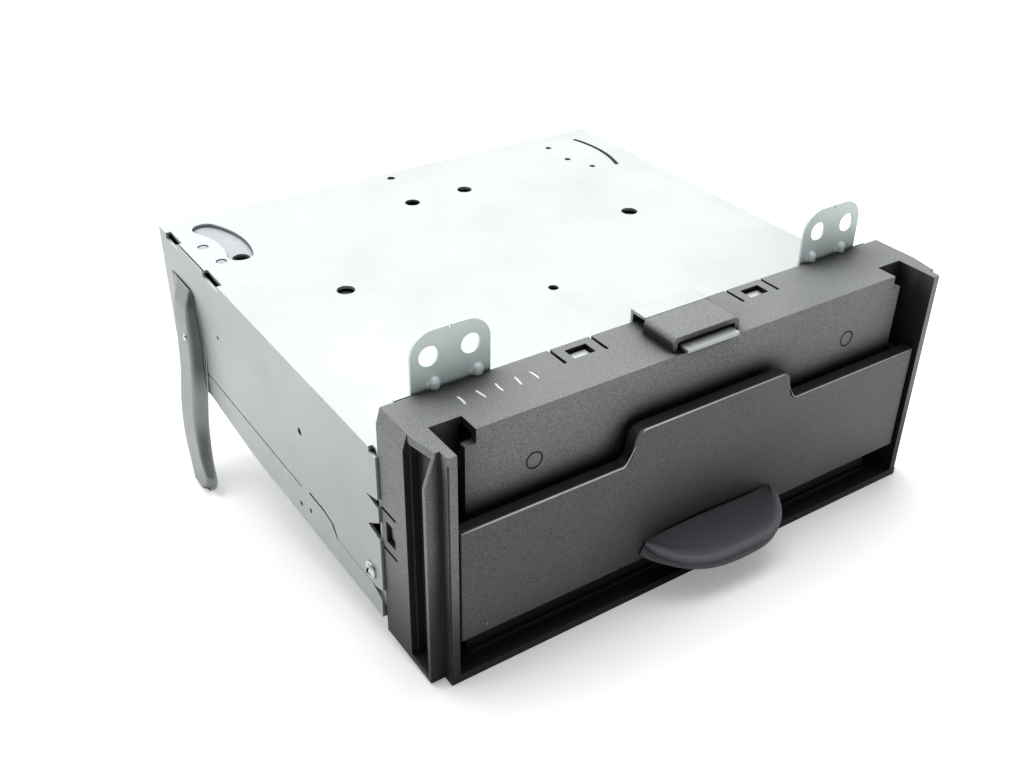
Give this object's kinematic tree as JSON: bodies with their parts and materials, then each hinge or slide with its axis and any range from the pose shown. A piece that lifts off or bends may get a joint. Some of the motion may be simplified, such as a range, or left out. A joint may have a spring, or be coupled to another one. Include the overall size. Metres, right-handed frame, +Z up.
{
  "type": "car cd changer",
  "caption": "In-dash disc changer: a zinc steel box behind a charcoal plastic front whose full-width shutter lifts by a central grip, over a disc slot, stacked trays and a swinging deck.",
  "frame": {"origin": "bottom centre of the object's box, level with the feet of the rear legs", "axes": "+Y from the plastic front to the rear panel, +Z up, square to the steel box"},
  "size_m": [0.2014, 0.2028, 0.1181],
  "materials": {
    "charcoal_plastic": "fine-textured charcoal plastic, faint light edges",
    "shutter_plastic": "satin blue-black plastic",
    "grip_rubber": "satin blue-black soft-touch plastic",
    "zinc_steel": "bright zinc-plated sheet steel",
    "ear_steel": "greenish grey zinc-plated steel",
    "screw_steel": "bright screw heads and rivets",
    "black_felt": "black felt",
    "black_plastic": "black plastic",
    "grey_plastic": "grey plastic",
    "white_plastic": "natural white gear plastic",
    "rubber": "black rubber",
    "bright_steel": "ground steel",
    "board_green": "green circuit board",
    "lens_glass": "clear lens",
    "aluminium": "die-cast aluminium"
  },
  "bodies": {
    "chassis": {"front_bezel": "charcoal_plastic", "slot_felts": "black_felt", "upper_throat": "black_plastic", "lower_throat": "black_plastic", "front_frame": "zinc_steel", "front_hook": "zinc_steel", "left_ear_bracket": "ear_steel", "right_ear_bracket": "ear_steel", "ear_rivets": "screw_steel", "top_cover": "zinc_steel", "bottom_chassis": "zinc_steel", "rear_panel": "zinc_steel", "rear_screws": "screw_steel", "rear_connector": "black_plastic", "side_screws": "screw_steel", "left_rear_leg": "ear_steel", "right_rear_leg": "ear_steel", "leg_rivets": "screw_steel", "mechanism_base": "zinc_steel", "upper_frame": "zinc_steel", "frame_posts": "bright_steel", "cam_lever": "grey_plastic", "lift_motor": "bright_steel", "gear_plate": "zinc_steel", "roller_bracket": "zinc_steel", "idler_pin": "bright_steel", "loading_motor": "bright_steel", "deck_pivot_post": "bright_steel", "main_board": "board_green", "board_parts": "black_plastic"},
    "shutter": {"shutter_door": "shutter_plastic", "shutter_grip": "grip_rubber"},
    "feed_roller_body": {"roller_shaft": "bright_steel", "feed_roller": "rubber", "roller_gear": "white_plastic"},
    "idler": {"idler_gear": "white_plastic"},
    "pinion": {"motor_pinion": "white_plastic"},
    "tray_stack": {"stack_nuts": "grey_plastic", "disc_tray_1": "black_plastic", "disc_tray_2": "black_plastic", "disc_tray_3": "black_plastic", "disc_tray_4": "black_plastic", "disc_tray_5": "black_plastic", "disc_tray_6": "black_plastic"},
    "screw_left": {"lift_screw_left": "white_plastic"},
    "screw_right": {"lift_screw_right": "white_plastic"},
    "screw_rear": {"lift_screw_rear": "white_plastic"},
    "lift_pinion_body": {"lift_pinion": "white_plastic"},
    "deck": {"play_deck": "zinc_steel", "spindle_motor": "bright_steel", "guide_rods": "bright_steel", "sled_motor": "bright_steel", "clamp_pin": "bright_steel"},
    "table": {"turntable": "black_plastic"},
    "pickup": {"pickup_sled": "aluminium", "objective_lens": "lens_glass"},
    "feed": {"feed_screw": "white_plastic"},
    "clamp": {"clamp_arm": "zinc_steel"},
    "clamp_disc": {"clamper": "grey_plastic"}
  },
  "joints": [
    {"name": "shutter_lift", "type": "slide", "parent": "chassis", "child": "shutter", "axis": [0, 0, 1], "range_m": [0, 0.024]},
    {"name": "roller_spin", "type": "hinge", "parent": "chassis", "child": "feed_roller_body", "pos_m": [0, -0.051, 0.0509], "axis": [1, 0, 0], "continuous": true},
    {"name": "idler_spin", "type": "hinge", "parent": "chassis", "child": "idler", "pos_m": [-0.081, -0.04396, 0.06414], "axis": [1, 0, 0], "continuous": true},
    {"name": "pinion_spin", "type": "hinge", "parent": "chassis", "child": "pinion", "pos_m": [-0.081, -0.03889, 0.07502], "axis": [1, 0, 0], "continuous": true},
    {"name": "stack_lower", "type": "slide", "parent": "chassis", "child": "tray_stack", "axis": [0, 0, -1], "range_m": [0, 0.0284]},
    {"name": "screw_left_spin", "type": "hinge", "parent": "chassis", "child": "screw_left", "pos_m": [-0.076, 0.003, 0.0578], "axis": [0, 0, 1], "range_deg": [0, 720.01]},
    {"name": "screw_right_spin", "type": "hinge", "parent": "chassis", "child": "screw_right", "pos_m": [0.07, -0.039, 0.0578], "axis": [0, 0, 1], "range_deg": [0, 720.01]},
    {"name": "screw_rear_spin", "type": "hinge", "parent": "chassis", "child": "screw_rear", "pos_m": [0.008, 0.0855, 0.0578], "axis": [0, 0, 1], "range_deg": [0, 720.01]},
    {"name": "lift_pinion_spin", "type": "hinge", "parent": "chassis", "child": "lift_pinion_body", "pos_m": [-0.076, -0.009, 0.0388], "axis": [0, 0, 1], "range_deg": [-2160.03, 0]},
    {"name": "deck_swing", "type": "hinge", "parent": "chassis", "child": "deck", "pos_m": [0.076, 0.084, 0.0478], "axis": [0, 0, -1], "range_deg": [0, 48.18]},
    {"name": "turntable_spin", "type": "hinge", "parent": "deck", "child": "table", "pos_m": [0.076, -0.01798, 0.0518], "axis": [0, 0, 1], "continuous": true},
    {"name": "pickup_slide", "type": "slide", "parent": "deck", "child": "pickup", "axis": [0, 1, 0], "range_m": [0, 0.033]},
    {"name": "feed_screw_spin", "type": "hinge", "parent": "deck", "child": "feed", "pos_m": [0.076, 0.033, 0.0426], "axis": [0, 1, 0], "range_deg": [0, 3960.01]},
    {"name": "clamp_tilt", "type": "hinge", "parent": "deck", "child": "clamp", "pos_m": [0.076, 0.07, 0.0588], "axis": [-1, 0, 0], "range_deg": [0, 2.6]},
    {"name": "clamper_spin", "type": "hinge", "parent": "clamp", "child": "clamp_disc", "pos_m": [0.076, -0.01798, 0.0578], "axis": [0, 0, 1], "continuous": true}
  ],
  "couplings": [
    {"joint": "idler_spin", "follows": "roller_spin", "ratio": -0.66667},
    {"joint": "pinion_spin", "follows": "roller_spin", "ratio": 2},
    {"joint": "screw_left_spin", "follows": "stack_lower", "rad_per_m": 442.48},
    {"joint": "screw_right_spin", "follows": "stack_lower", "rad_per_m": 442.48},
    {"joint": "screw_rear_spin", "follows": "stack_lower", "rad_per_m": 442.48},
    {"joint": "lift_pinion_spin", "follows": "stack_lower", "rad_per_m": -1327.4},
    {"joint": "feed_screw_spin", "follows": "pickup_slide", "rad_per_m": 2094.4}
  ]
}
